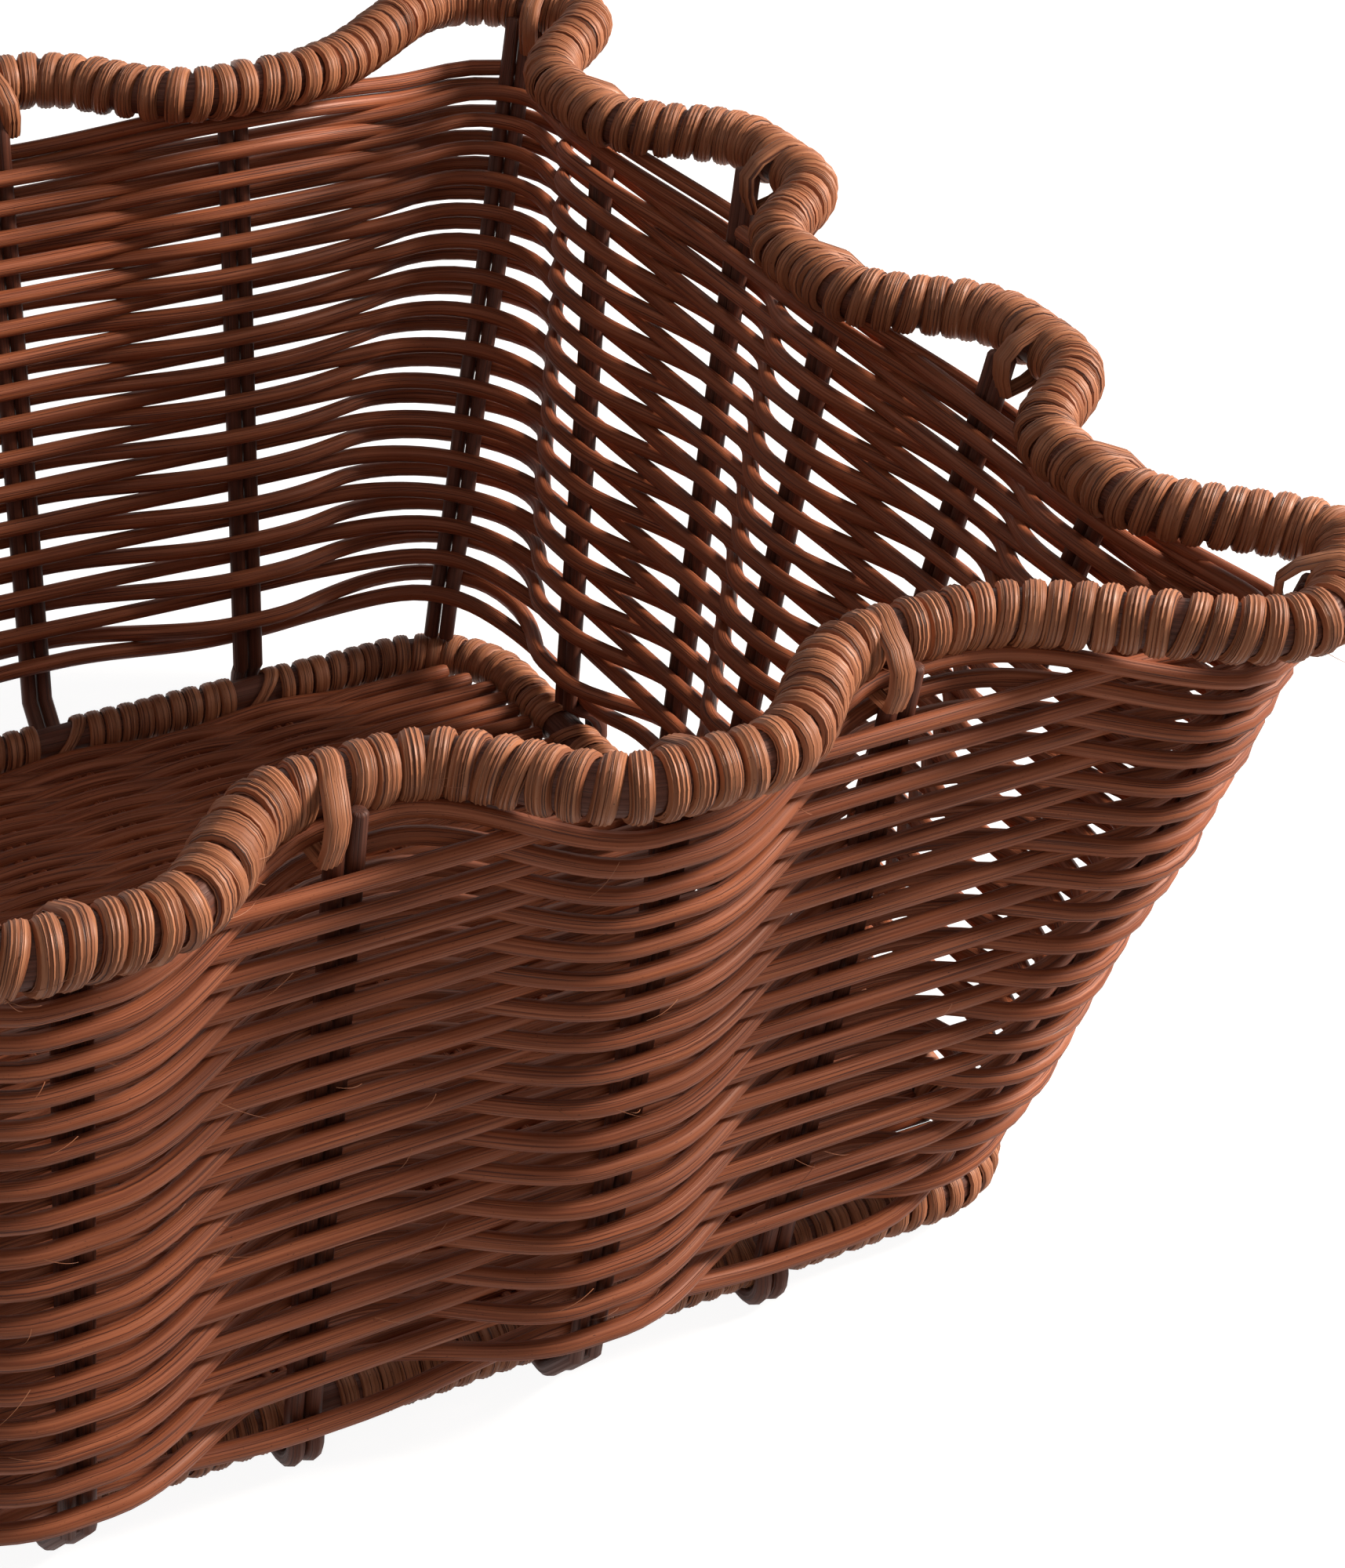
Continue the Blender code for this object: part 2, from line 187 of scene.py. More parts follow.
def stakePairs():  # (place on the outline, +1 outside or -1 inside, name), in order round the wall
    quarter = wall["round"] / 4
    sides = ((0, wall["reachY"], "right"), (quarter, wall["reachX"], "back"))
    sides += ((2 * quarter, wall["reachY"], "left"), (3 * quarter, wall["reachX"], "front"))
    last = wall["pairsPerSide"] - 1
    found = []
    for middle, reach, name in sides:
        for number in range(last + 1):
            place = (middle + (2 * number / last - 1) * reach) % wall["round"]
            found.append((place, 1 if number % 2 else -1, f"{name}{number + 1}"))
    found += [(place, 1, "corner") for place in cornerPlaces]
    return sorted(found)


pairs = stakePairs()


def sway(place, height):  # +1 at the outer pairs and -1 at the inner ones, flat over each pair
    spots = np.array([pair[0] for pair in pairs])
    sides = np.array([pair[1] for pair in pairs], float)
    corner = np.array([pair[2] == "corner" for pair in pairs])
    on = place % wall["round"]
    after = np.searchsorted(spots, on, side="right") % len(spots)
    before = after - 1
    radius = wall["ground"][2] + (wall["rim"][2] - wall["ground"][2]) * height / wall["rimHeight"]
    cornerRest = wall["cornerHalfWidth"] * radius / (radius + 2 * wall["stakeOffset"])
    restBefore = np.where(corner[before], cornerRest, wall["pairHalfWidth"])
    restAfter = np.where(corner[after], cornerRest, wall["pairHalfWidth"])
    run = runAt(place, height)
    begun = run - runAt(place - (on - spots[before]) % wall["round"], height) - restBefore
    left = runAt(place + (spots[after] - on) % wall["round"], height) - run - restAfter
    return sides[before] * np.cos(np.pi * np.clip(begun / (begun + left), 0, 1))


# Mesh helpers
mesh = {
    "weld": 1e-6,
    "smoothAngle": 50,  # in degrees
    "endReach": 0.35,  # of a rod's rounded end past its cut, in parts of its radius
    "shoulder": 0.7,  # where the rounding has its middle ring, in parts of that reach
    "endSizes": (0.5, 0.85),  # of the end and of the middle ring, in parts of the radius
    "grain": 1000,  # grain is counted in millimetres
    "grainShift": 137.0,  # each seed has its own stretch of it
}


def tidyMesh(obj, close=True):  # welds the seam, closes the ends, turns faces outwards
    bpy.ops.object.select_all(action="DESELECT")
    obj.select_set(True)
    bpy.context.view_layer.objects.active = obj
    bpy.ops.object.mode_set(mode="EDIT")
    bpy.ops.mesh.select_all(action="SELECT")
    bpy.ops.mesh.remove_doubles(threshold=mesh["weld"])
    if close:
        bpy.ops.mesh.select_all(action="DESELECT")
        bpy.ops.mesh.select_non_manifold()
        bpy.ops.mesh.fill_holes(sides=0)
    bpy.ops.mesh.select_all(action="SELECT")
    bpy.ops.mesh.normals_make_consistent(inside=False)
    bpy.ops.object.mode_set(mode="OBJECT")
    bpy.ops.object.shade_smooth_by_angle(angle=math.radians(mesh["smoothAngle"]))


def unit(vectors):
    return vectors / np.linalg.norm(vectors, axis=-1, keepdims=True)


def sideways(outward):  # along the wall, anticlockwise from above
    return np.array((-outward[1], outward[0], 0))


def lengthAt(points):  # how far along a line each of its points is
    return np.concatenate(([0], np.cumsum(np.linalg.norm(np.diff(points, axis=0), axis=1))))


def rolled(name, rows, columns):  # a flat grid to be rolled up: rows along, columns around
    bpy.ops.object.select_all(action="DESELECT")
    bpy.ops.mesh.primitive_grid_add(x_subdivisions=rows, y_subdivisions=columns, size=2)
    obj = bpy.context.object
    obj.name = name
    flat = np.empty(len(obj.data.vertices) * 3)
    obj.data.vertices.foreach_get("co", flat)
    flat = flat.reshape(-1, 3)
    row = np.rint((flat[:, 0] + 1) / 2 * rows).astype(int)
    column = np.rint((flat[:, 1] + 1) / 2 * columns).astype(int)
    return obj, row, column


def shapeGrid(obj, points, grain):  # sets the points and keeps each one's place in the cane
    obj.data.vertices.foreach_set("co", points.astype(np.float32).ravel())
    kept = obj.data.attributes.new("grain", "FLOAT_VECTOR", "POINT")
    kept.data.foreach_set("vector", grain.astype(np.float32).ravel())
    obj.data.update()


def rod(name, path, radius, sides, closed=False, seed=0, up=(0, 0, 1)):
    path = np.asarray(path, float)
    thick = np.broadcast_to(radius, len(path)).astype(float)
    if closed:
        path = np.vstack((path, path[:1]))
        thick = np.append(thick, thick[0])
    else:  # ends are cut a little round
        lead = unit(path[0] - path[1]) * thick[0] * mesh["endReach"]
        tail = unit(path[-1] - path[-2]) * thick[-1] * mesh["endReach"]
        before = (path[0] + lead, path[0] + lead * mesh["shoulder"])
        after = (path[-1] + tail * mesh["shoulder"], path[-1] + tail)
        path = np.vstack((*before, path, *after))
        sizes = mesh["endSizes"]
        thick = np.concatenate((thick[:1] * sizes, thick, thick[-1:] * sizes[::-1]))
    step = np.gradient(path, axis=0)
    if closed:
        step[0] = step[-1] = path[1] - path[-2]
    along = unit(step)
    side = unit(np.cross(along, np.broadcast_to(up, along.shape)))
    above = np.cross(side, along)
    length = lengthAt(path)
    obj, row, column = rolled(name, len(path) - 1, sides)
    turn = column / sides * 2 * math.pi
    spoke = side[row] * np.cos(turn)[:, None] + above[row] * np.sin(turn)[:, None]
    points = path[row] + spoke * thick[row][:, None]
    size = float(np.mean(thick)) * mesh["grain"]
    run = length[row] * mesh["grain"] + seed * mesh["grainShift"]
    grain = np.stack((np.cos(turn) * size, np.sin(turn) * size, run), 1)
    shapeGrid(obj, points, grain)
    tidyMesh(obj, close=not closed)
    return obj


def joined(name, parts):
    bpy.ops.object.select_all(action="DESELECT")
    for part in parts:
        part.select_set(True)
    bpy.context.view_layer.objects.active = parts[0]
    bpy.ops.object.join()
    parts[0].name = name
    return parts[0]


def finished(obj, material, slot, *nodes):
    obj.data.materials.clear()
    obj.data.materials.append(material)
    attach(obj, "root")
    if nodes:
        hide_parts(*nodes)
    return obj


# Shader helpers
def socketGroup(name, inputs, outputs):
    group = bpy.data.node_groups.new(name, "ShaderNodeTree")
    for label, value in inputs:
        socket = group.interface.new_socket(label, in_out="INPUT", socket_type="NodeSocketFloat")
        socket.default_value = value
    for label in outputs:
        group.interface.new_socket(label, in_out="OUTPUT", socket_type="NodeSocketFloat")
    return group, group.nodes.new("NodeGroupInput"), group.nodes.new("NodeGroupOutput")


def addNode(tree, kind, **settings):
    node = tree.nodes.new(kind)
    for key, value in settings.items():
        setattr(node, key, value)
    return node


def ramp(tree, source, stops):  # stops are (position, grey) pairs
    node = addNode(tree, "ShaderNodeValToRGB")
    node.color_ramp.elements[0].position = stops[0][0]
    node.color_ramp.elements[0].color = (*(stops[0][1],) * 3, 1)
    node.color_ramp.elements[1].position = stops[-1][0]
    node.color_ramp.elements[1].color = (*(stops[-1][1],) * 3, 1)
    for position, grey in stops[1:-1]:
        node.color_ramp.elements.new(position).color = (grey, grey, grey, 1)
    tree.links.new(source, node.inputs["Fac"])
    return node.outputs["Color"]


def multiplied(tree, source, factor):
    node = addNode(tree, "ShaderNodeMath", operation="MULTIPLY")
    tree.links.new(source, node.inputs[0])
    if isinstance(factor, float):
        node.inputs[1].default_value = factor
    else:
        tree.links.new(factor, node.inputs[1])
    return node.outputs[0]


def noiseAt(tree, vector, scale, detail, rough=0.5):
    node = addNode(tree, "ShaderNodeTexNoise")
    node.inputs["Detail"].default_value = detail
    node.inputs["Roughness"].default_value = rough
    if isinstance(scale, float):
        node.inputs["Scale"].default_value = scale
    else:
        tree.links.new(scale, node.inputs["Scale"])
    tree.links.new(vector, node.inputs["Vector"])
    return node.outputs["Fac"]


fibreLook = {  # ramps are (noise, grey) stops
    "streak": [(0.34, 0), (0.66, 1)],
    "groove": [(0.30, 0), (0.44, 0.85), (0.8, 1)],
    "grooveScale": 2.1,  # in parts of the streaks'
    "fleck": [(0.24, 0), (0.33, 1)],
    "fleckScale": 4.5,
    "fleckStretch": 0.35,
    "fleckRough": 0.6,
    "blotch": [(0.32, 0), (0.68, 1)],
    "blotchAlong": 0.05,
    "blotchAcross": 0.12,
    "rougher": 0.1,  # in the dark streaks
    "smoother": 0.08,  # in the light ones
    "specular": 0.3,
}


def fibreGroup():  # lengthwise fibres of cane, in millimetres across and along it
    group, given, made = socketGroup(
        "caneFibres",
        [("Streaks", 3.0), ("Stretch", 0.01)],
        ["Streak", "Groove", "Fleck", "Blotch"],
    )
    grain = addNode(group, "ShaderNodeAttribute", attribute_name="grain")
    parts = addNode(group, "ShaderNodeSeparateXYZ")
    group.links.new(grain.outputs["Vector"], parts.inputs[0])

    def drawn(stretch):  # the grain's place with its length drawn out
        place = addNode(group, "ShaderNodeCombineXYZ")
        group.links.new(parts.outputs["X"], place.inputs["X"])
        group.links.new(parts.outputs["Y"], place.inputs["Y"])
        group.links.new(multiplied(group, parts.outputs["Z"], stretch), place.inputs["Z"])
        return place.outputs[0]

    long = drawn(given.outputs["Stretch"])
    broad = noiseAt(group, long, given.outputs["Streaks"], 2.0)
    group.links.new(ramp(group, broad, fibreLook["streak"]), made.inputs["Streak"])
    finer = multiplied(group, given.outputs["Streaks"], fibreLook["grooveScale"])
    fine = noiseAt(group, long, finer, 1.0)
    group.links.new(ramp(group, fine, fibreLook["groove"]), made.inputs["Groove"])
    short = drawn(fibreLook["fleckStretch"])
    fleck = noiseAt(group, short, fibreLook["fleckScale"], 2.0, fibreLook["fleckRough"])
    group.links.new(ramp(group, fleck, fibreLook["fleck"]), made.inputs["Fleck"])
    where = addNode(group, "ShaderNodeCombineXYZ")
    along = multiplied(group, parts.outputs["Z"], fibreLook["blotchAlong"])
    across = multiplied(group, parts.outputs["Y"], fibreLook["blotchAcross"])
    group.links.new(along, where.inputs["X"])
    group.links.new(across, where.inputs["Y"])
    blotch = noiseAt(group, where.outputs[0], 1.0, 2.0)
    group.links.new(ramp(group, blotch, fibreLook["blotch"]), made.inputs["Blotch"])
    return group


def caneMaterial(name, fibres, look):
    material = bpy.data.materials.new(name)
    material.use_nodes = True
    tree = material.node_tree
    shader = tree.nodes["Principled BSDF"]
    cane = addNode(tree, "ShaderNodeGroup", node_tree=fibres)
    cane.inputs["Streaks"].default_value = look["streaks"]
    cane.inputs["Stretch"].default_value = look["stretch"]

    def mixed(factor, low, high, blend="MIX"):  # colours go in at sockets 6 and 7, out at 2
        node = addNode(tree, "ShaderNodeMix", data_type="RGBA", blend_type=blend)
        for socket, value in ((node.inputs[6], low), (node.inputs[7], high)):
            if isinstance(value, tuple):
                socket.default_value = (*value, 1)
            else:
                tree.links.new(value, socket)
        if factor is None:
            node.inputs["Factor"].default_value = 1.0
        else:
            tree.links.new(factor, node.inputs["Factor"])
        return node.outputs[2]

    tone = mixed(cane.outputs["Streak"], look["dark"], look["light"])
    drift = ramp(tree, cane.outputs["Blotch"], [(0.0, look["drift"]), (1.0, 1.0)])
    tone = mixed(None, tone, drift, "MULTIPLY")
    tone = mixed(cane.outputs["Groove"], look["deep"], tone)
    tone = mixed(cane.outputs["Fleck"], look["deep"], tone)
    tree.links.new(tone, shader.inputs["Base Color"])
    height = addNode(tree, "ShaderNodeBump")
    height.inputs["Strength"].default_value = 1.0
    height.inputs["Distance"].default_value = look["bump"]
    tree.links.new(cane.outputs["Groove"], height.inputs["Height"])
    tree.links.new(height.outputs["Normal"], shader.inputs["Normal"])
    roughest = look["rough"] + fibreLook["rougher"]
    smoothest = look["rough"] - fibreLook["smoother"]
    rough = ramp(tree, cane.outputs["Streak"], [(0, roughest), (1, smoothest)])
    tree.links.new(rough, shader.inputs["Roughness"])
    shader.inputs["Specular IOR Level"].default_value = fibreLook["specular"]
    return material


roundCane = {
    "light": (0.50, 0.150, 0.062),
    "dark": (0.27, 0.066, 0.024),
    "deep": (0.070, 0.013, 0.004),
    "drift": 0.74,
    "streaks": 2.6,
    "stretch": 0.007,
    "bump": 0.00007,
    "rough": 0.55,
}
splitCane = {
    "light": (0.60, 0.240, 0.115),
    "dark": (0.34, 0.112, 0.048),
    "deep": (0.08, 0.018, 0.007),
    "drift": 0.80,
    "streaks": 2.3,
    "stretch": 0.010,
    "bump": 0.00024,
    "rough": 0.5,
}
# painted shade: the stakes and the wrapped cores are the same cane as the weavers, darkened to the
# near-black of the shade they stand in behind the rows and under the wrapping
paintedShadeCane = {
    "light": (0.15, 0.040, 0.018),
    "dark": (0.085, 0.021, 0.009),
    "deep": (0.035, 0.008, 0.003),
    "drift": 0.7,
    "streaks": 2.6,
    "stretch": 0.007,
    "bump": 0.00007,
    "rough": 0.6,
}
caneFibres = fibreGroup()
weaveCane = caneMaterial("roundCane", caneFibres, roundCane)
wrapCane = caneMaterial("splitCane", caneFibres, splitCane)
# material for the stakes and the rim's and hoop's cores, with their shade painted into its colour
stakeAndCoreShadeCane = caneMaterial("paintedShadeCane", caneFibres, paintedShadeCane)
print("materials done")

# Weavers: rods A and B climb round the wall together, B midway between A's rows
weave = {
    "thickLow": 0.00318,
    "thickHigh": 0.00292,
    "thins": (0.05, 0.105),  # heights between which the rods get thinner
    "first": 0.0103,  # height where A starts, and how much it climbs in its first round
    "firstClimb": 0.0112,
    "climb": 0.00745,  # of the next round, and how much less each round after it
    "closer": 0.000160,
    "highest": 0.1190,
    "levels": 0.002,  # how far below that the climb starts to end
    "firstDip": 0.0036,  # A's first round dips this much in front of the inner pairs
    "dipEnds": (0.012, 0.024),
    "waveLow": 0.0021,  # B's rows dip outside the wall and rise inside it, most on the front
    "waveHigh": 0.0042,
    "waveElsewhere": 0.8,
    "waveStarts": (0.014, 0.026),
    "waveGrows": (0.085, 0.115),
    "roundsA": 16.35,
    "roundsB": 16.6,
    "step": 0.0027,
    "sides": 10,
    "thickDrift": (0.028, 0.00010),  # a new value each so many metres, and how much at most
    "heightDrift": (0.037, 0.00012),
    "sideDrift": (0.023, 0.00022),
    "sharedDrift": 0.0007,
    "sharedWaves": ((5, 0, 45), (3, 1.7, 28)),  # in a round, their start, their slant with height
    "sharedStarts": (0.014, 0.035),
    "sharedEnds": (0.100, 0.112),
    "seedA": 11,
    "seedB": 23,
}
weaveStart = wall["round"] * 3 / 4 - wall["reachX"] * 3 / 4


def rowHeightA(rounds):
    more = np.maximum(rounds - 1, 0)
    climbed = weave["climb"] * more - weave["closer"] / 2 * more * more
    return weave["first"] + weave["firstClimb"] * np.minimum(rounds, 1) + climbed


def rowHeightB(rounds):
    return (rowHeightA(rounds) + rowHeightA(rounds + 1)) / 2


def rowLift(place, height):  # neighbouring rows rise and fall together, most of all at the corners
    turn = place / wall["round"] * 2 * math.pi
    waves = weave["sharedWaves"]
    rise = sum(np.sin(turn * count + start + height * slant) for count, start, slant in waves)
    drift = weave["sharedDrift"] * rise * eased(height, *weave["sharedStarts"]) / 2
    low = 1 - eased(height, *wall["liftEnds"])
    corner = wall["cornerLift"] * cornerWeight(place, height) * low
    return drift * (1 - eased(height, *weave["sharedEnds"])) + corner


def dipA(place, height, side):
    return weave["firstDip"] * (1 + side) / 2 * (1 - eased(height, *weave["dipEnds"]))


def waveB(place, height, side):
    grown = eased(height, *weave["waveGrows"])
    wave = weave["waveLow"] + (weave["waveHigh"] - weave["waveLow"]) * grown
    share = weave["waveElsewhere"] + (1 - weave["waveElsewhere"]) * frontShare(place)
    return -wave * share * side * eased(height, *weave["waveStarts"])


def weaver(name, rowHeight, rounds, swing, wave, seed):
    place = [np.array([weaveStart])]
    for number in range(math.ceil(rounds)):
        begin = weaveStart + number * wall["round"]
        end = weaveStart + min(number + 1, rounds) * wall["round"]
        place.append(placesBetween(begin, end, float(rowHeight(number + 0.5)), weave["step"])[1:])
    place = np.concatenate(place)
    travel = place - weaveStart
    height = rowHeight(travel / wall["round"])
    over = np.maximum(height - weave["highest"] + weave["levels"], 0)
    height -= over * over / (over + weave["levels"])
    side = sway(place, height)
    offset = swing * side + wander(travel, *weave["sideDrift"], seed)
    lift = rowLift(place, height) + wander(travel, *weave["heightDrift"], seed + 1)
    lift += wave(place, height, side)
    path = wallPoints(place, height + lift, offset)
    thinned = eased(height, *weave["thins"])
    size = weave["thickLow"] + (weave["thickHigh"] - weave["thickLow"]) * thinned
    thick = size / 2 + wander(travel, *weave["thickDrift"], seed + 2)
    return rod(name, path, thick, weave["sides"], seed=seed)


def makeWeavers():
    straight = weaver("insideOutsideRod", rowHeightA, weave["roundsA"], 0, dipA, weave["seedA"])
    finished(straight, weaveCane, "weave", "weaver_a")
    swing = 2 * wall["stakeOffset"]
    rounds, seed = weave["roundsB"], weave["seedB"]
    wavy = weaver("outsideInsideRod", rowHeightB, rounds, swing, waveB, seed)
    finished(wavy, weaveCane, "weave", "weaver_b")
    print("weavers done")


makeWeavers()

# Stakes
stakes = {
    "rod": 0.0029,
    "spread": 0.00153,  # of each rod's middle from the pair's
    "hoopHeight": 0.006975,
    "bend": 0.00595,  # radius of its turn round the hoop
    "longTurn": 0.53,  # where it leaves a long side's wall for the hoop, in parts of the bend
    "endTurn": 1.05,  # and a short side's
    "tail": 0.012,  # of the rod's end past the hoop's middle, on the ground
    "cornerFoot": 0.0118,  # corner pairs end on the hoop
    "aboveRim": -0.0012,  # of the rods' tops, from the rim's middle
    "cutShort": 0.0070,  # how far below the rim's middle one rod ends, on the front
    "moved": {"front3": -0.0030, "front5": -0.0045},  # these pairs stand further left
    "topDrift": 0.0008,
    "thickDrift": (0.03, 0.00006),
    "uprightPoints": 14,
    "cornerPoints": 16,
    "bendPoints": 9,
    "sides": 10,
    "seed": 300,
}


# A corner pair's rod goes straight down to the top of the hoop
def cornerPath(place, side, across, top):
    out = outline(wall["ground"], [place])[1][0]
    along = sideways(out)
    heights = np.linspace(top, stakes["cornerFoot"], stakes["cornerPoints"])
    spots = np.full(len(heights), place)
    return wallPoints(spots, heights, side * wall["stakeOffset"]) + along * across, along


# The other rods go down the wall and round the hoop's outside, and end flat on the ground
def stakePath(place, side, across, turnShare, top):
    hoopPlace, outward = outline(wall["hoop"], [place])
    hoopPlace[:, 2] = stakes["hoopHeight"]
    out = outward[0]
    along = sideways(out)
    low = wallPoints([place], stakes["hoopHeight"], 0.0, False)[0]
    fromWall = float((hoopPlace[0] - low) @ out)
    rise = stakes["bend"] * turnShare
    heights = np.linspace(top, stakes["hoopHeight"] + rise, stakes["uprightPoints"])
    spots = np.full(len(heights), place)
    upright = wallPoints(spots, heights, side * wall["stakeOffset"]) + along * across
    outside = float((upright[-1] - hoopPlace[0]) @ out)
    nearness = min(stakes["bend"] / math.hypot(outside, rise), 1)
    first = math.atan2(rise, outside) - math.acos(nearness)
    foot = stakes["hoopHeight"] - stakes["rod"] / 2
    bend = []
    for turn in np.linspace(first, -math.pi / 2, stakes["bendPoints"]):
        drop = min(-stakes["bend"] * math.sin(turn), foot)
        bend.append(low + out * (fromWall + stakes["bend"] * math.cos(turn)) + along * across)
        bend[-1][2] = stakes["hoopHeight"] - drop
    for share in (0.5, 1.0):
        bend.append(low + out * (fromWall - stakes["tail"] * share) + along * across)
        bend[-1][2] = stakes["rod"] / 2
    return np.vstack((upright, bend)), along


def makeStakes():
    rods = []
    for number, (place, side, name) in enumerate(pairs):
        for across in (-stakes["spread"], stakes["spread"]):
            onLongSide = name.startswith(("front", "back"))
            turnShare = stakes["longTurn"] if onLongSide else stakes["endTurn"]
            seed = stakes["seed"] + 2 * number + (across > 0)
            drift = wander([0.0], 1.0, stakes["topDrift"], seed)[0]
            top = wall["rimHeight"] + stakes["aboveRim"] + drift
            if name == "front5" and across < 0:
                top = wall["rimHeight"] - stakes["cutShort"]
            if name == "corner":
                path, along = cornerPath(place, side, across, top)
            else:
                shift = across + stakes["moved"].get(name, 0)
                path, along = stakePath(place, side, shift, turnShare, top)
            thick = stakes["rod"] / 2 + wander(path[:, 2], *stakes["thickDrift"], seed)
            rods.append(rod("stakeRod", path, thick, stakes["sides"], seed=seed, up=along))
    obj = joined("stakePairs", rods)
    names = [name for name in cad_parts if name.startswith("stake_")]
    # the stakes get the cane with painted shade, for the shade they stand in behind the rows
    finished(obj, stakeAndCoreShadeCane, "stakes", *names)
    print("stakes done")


makeStakes()

# Strips of split cane wound round a rod. Turn n lies in the middle of the outer face at mark n
rimWrap = {
    "radius": 0.0050,
    "width": 0.0036,
    "thickness": 0.00135,
    "pitch": 0.0039,
    "steps": 18,
    "slide": 0.00022,
    "lean": 0.00075,
    "proud": 0.00016,
    "reachOut": 0.0044,  # a binding goes this far past the rim's radius, round a stake pair,
    "reachUp": 0.0015,  # from this far above the rim's middle
    "reachDown": 0.0066,  # to this far below it
    "bevel": (0.002, 0.0006),  # and round a corner cut off by this much there
    "bindShift": -0.0026,  # of a binding's lower half, along the rim
    "bindWidth": 1.12,
    "seed": 5,
}
hoopWrap = {
    "radius": 0.00425,
    "width": 0.0032,
    "thickness": 0.0009,
    "pitch": 0.0036,
    "steps": 16,
    "slide": 0.00020,
    "lean": 0.00035,
    "proud": 0.00010,
    "gap": 0.0031,  # bare core on either side of a stake pair's middle
    "seed": 9,
}
splitStrip = {
    "points": 11,  # over the strip's width
    "edge": 0.22,  # its thickness at the edges, in parts of the whole
    "crown": 2.6,
    "ridge": 0.07,
    "ridges": 5,
    "under": 0.40,  # half the underside's width, in parts of the whole
    "proud": (-0.3, 1),  # ranges of what changes from turn to turn
    "broad": (0.90, 1.06),
    "tip": (-0.06, 0.09),
    "jump": (0.2, 0.8),  # where in a turn the strip crosses a gap
    "depthGrain": 300,  # so that its ridges change the grain little
    "slopeReach": 0.0008,
    "aims": 361,
    "leastFacing": 0.02,  # aims that are nearly square to an angle don't bound it
}


def ringLine(points):  # a closed line, and how far along it each of its points is
    ring = np.vstack((points, points[:1]))
    return ring, lengthAt(ring)


def alongRing(ring, length, place):  # points of the ring, and its direction there
    reach = splitStrip["slopeReach"]
    spots = []
    for shift in (0, reach, -reach):
        at = (np.asarray(place) + shift) % length[-1]
        spots.append(np.stack([np.interp(at, length, ring[:, axis]) for axis in range(3)], 1))
    return spots[0], unit(spots[1] - spots[2])


def nearestOnRing(ring, length, point):
    return float(length[np.argmin(np.linalg.norm(ring[:-1] - point, axis=1))])


def stripProfile(width, thickness):  # across the strip and above its underside, with shallow ridges
    shares = np.linspace(-1, 1, splitStrip["points"])
    crown = (1 - np.abs(shares) ** splitStrip["crown"]) ** 0.5
    ridge = splitStrip["ridge"] * np.cos(shares * math.pi * splitStrip["ridges"])
    edge = splitStrip["edge"]
    above = thickness * (edge + (1 - edge) * crown + ridge * crown)
    upper = np.stack((shares * width / 2, above), 1)
    lower = [(width * splitStrip["under"], 0), (-width * splitStrip["under"], 0)]
    return np.vstack((upper, lower))


def hullReach(look, angle):  # how far a taut strip is from the rim's middle, round rim and stakes
    aims = np.linspace(-math.pi, math.pi, splitStrip["aims"])
    far = look["radius"] + look["reachOut"]
    low = -look["reachDown"]
    inward, down = look["bevel"]
    corners = np.array(((far, look["reachUp"]), (far, low), (far - inward, low - down)))
    reach = np.maximum(look["radius"], (corners @ np.stack((np.cos(aims), np.sin(aims)))).max(0))
    facing = np.cos(angle[:, None] - aims[None, :])
    least = splitStrip["leastFacing"]
    limits = np.where(facing > least, reach[None, :] / np.maximum(facing, least), 9)
    return limits.min(1)


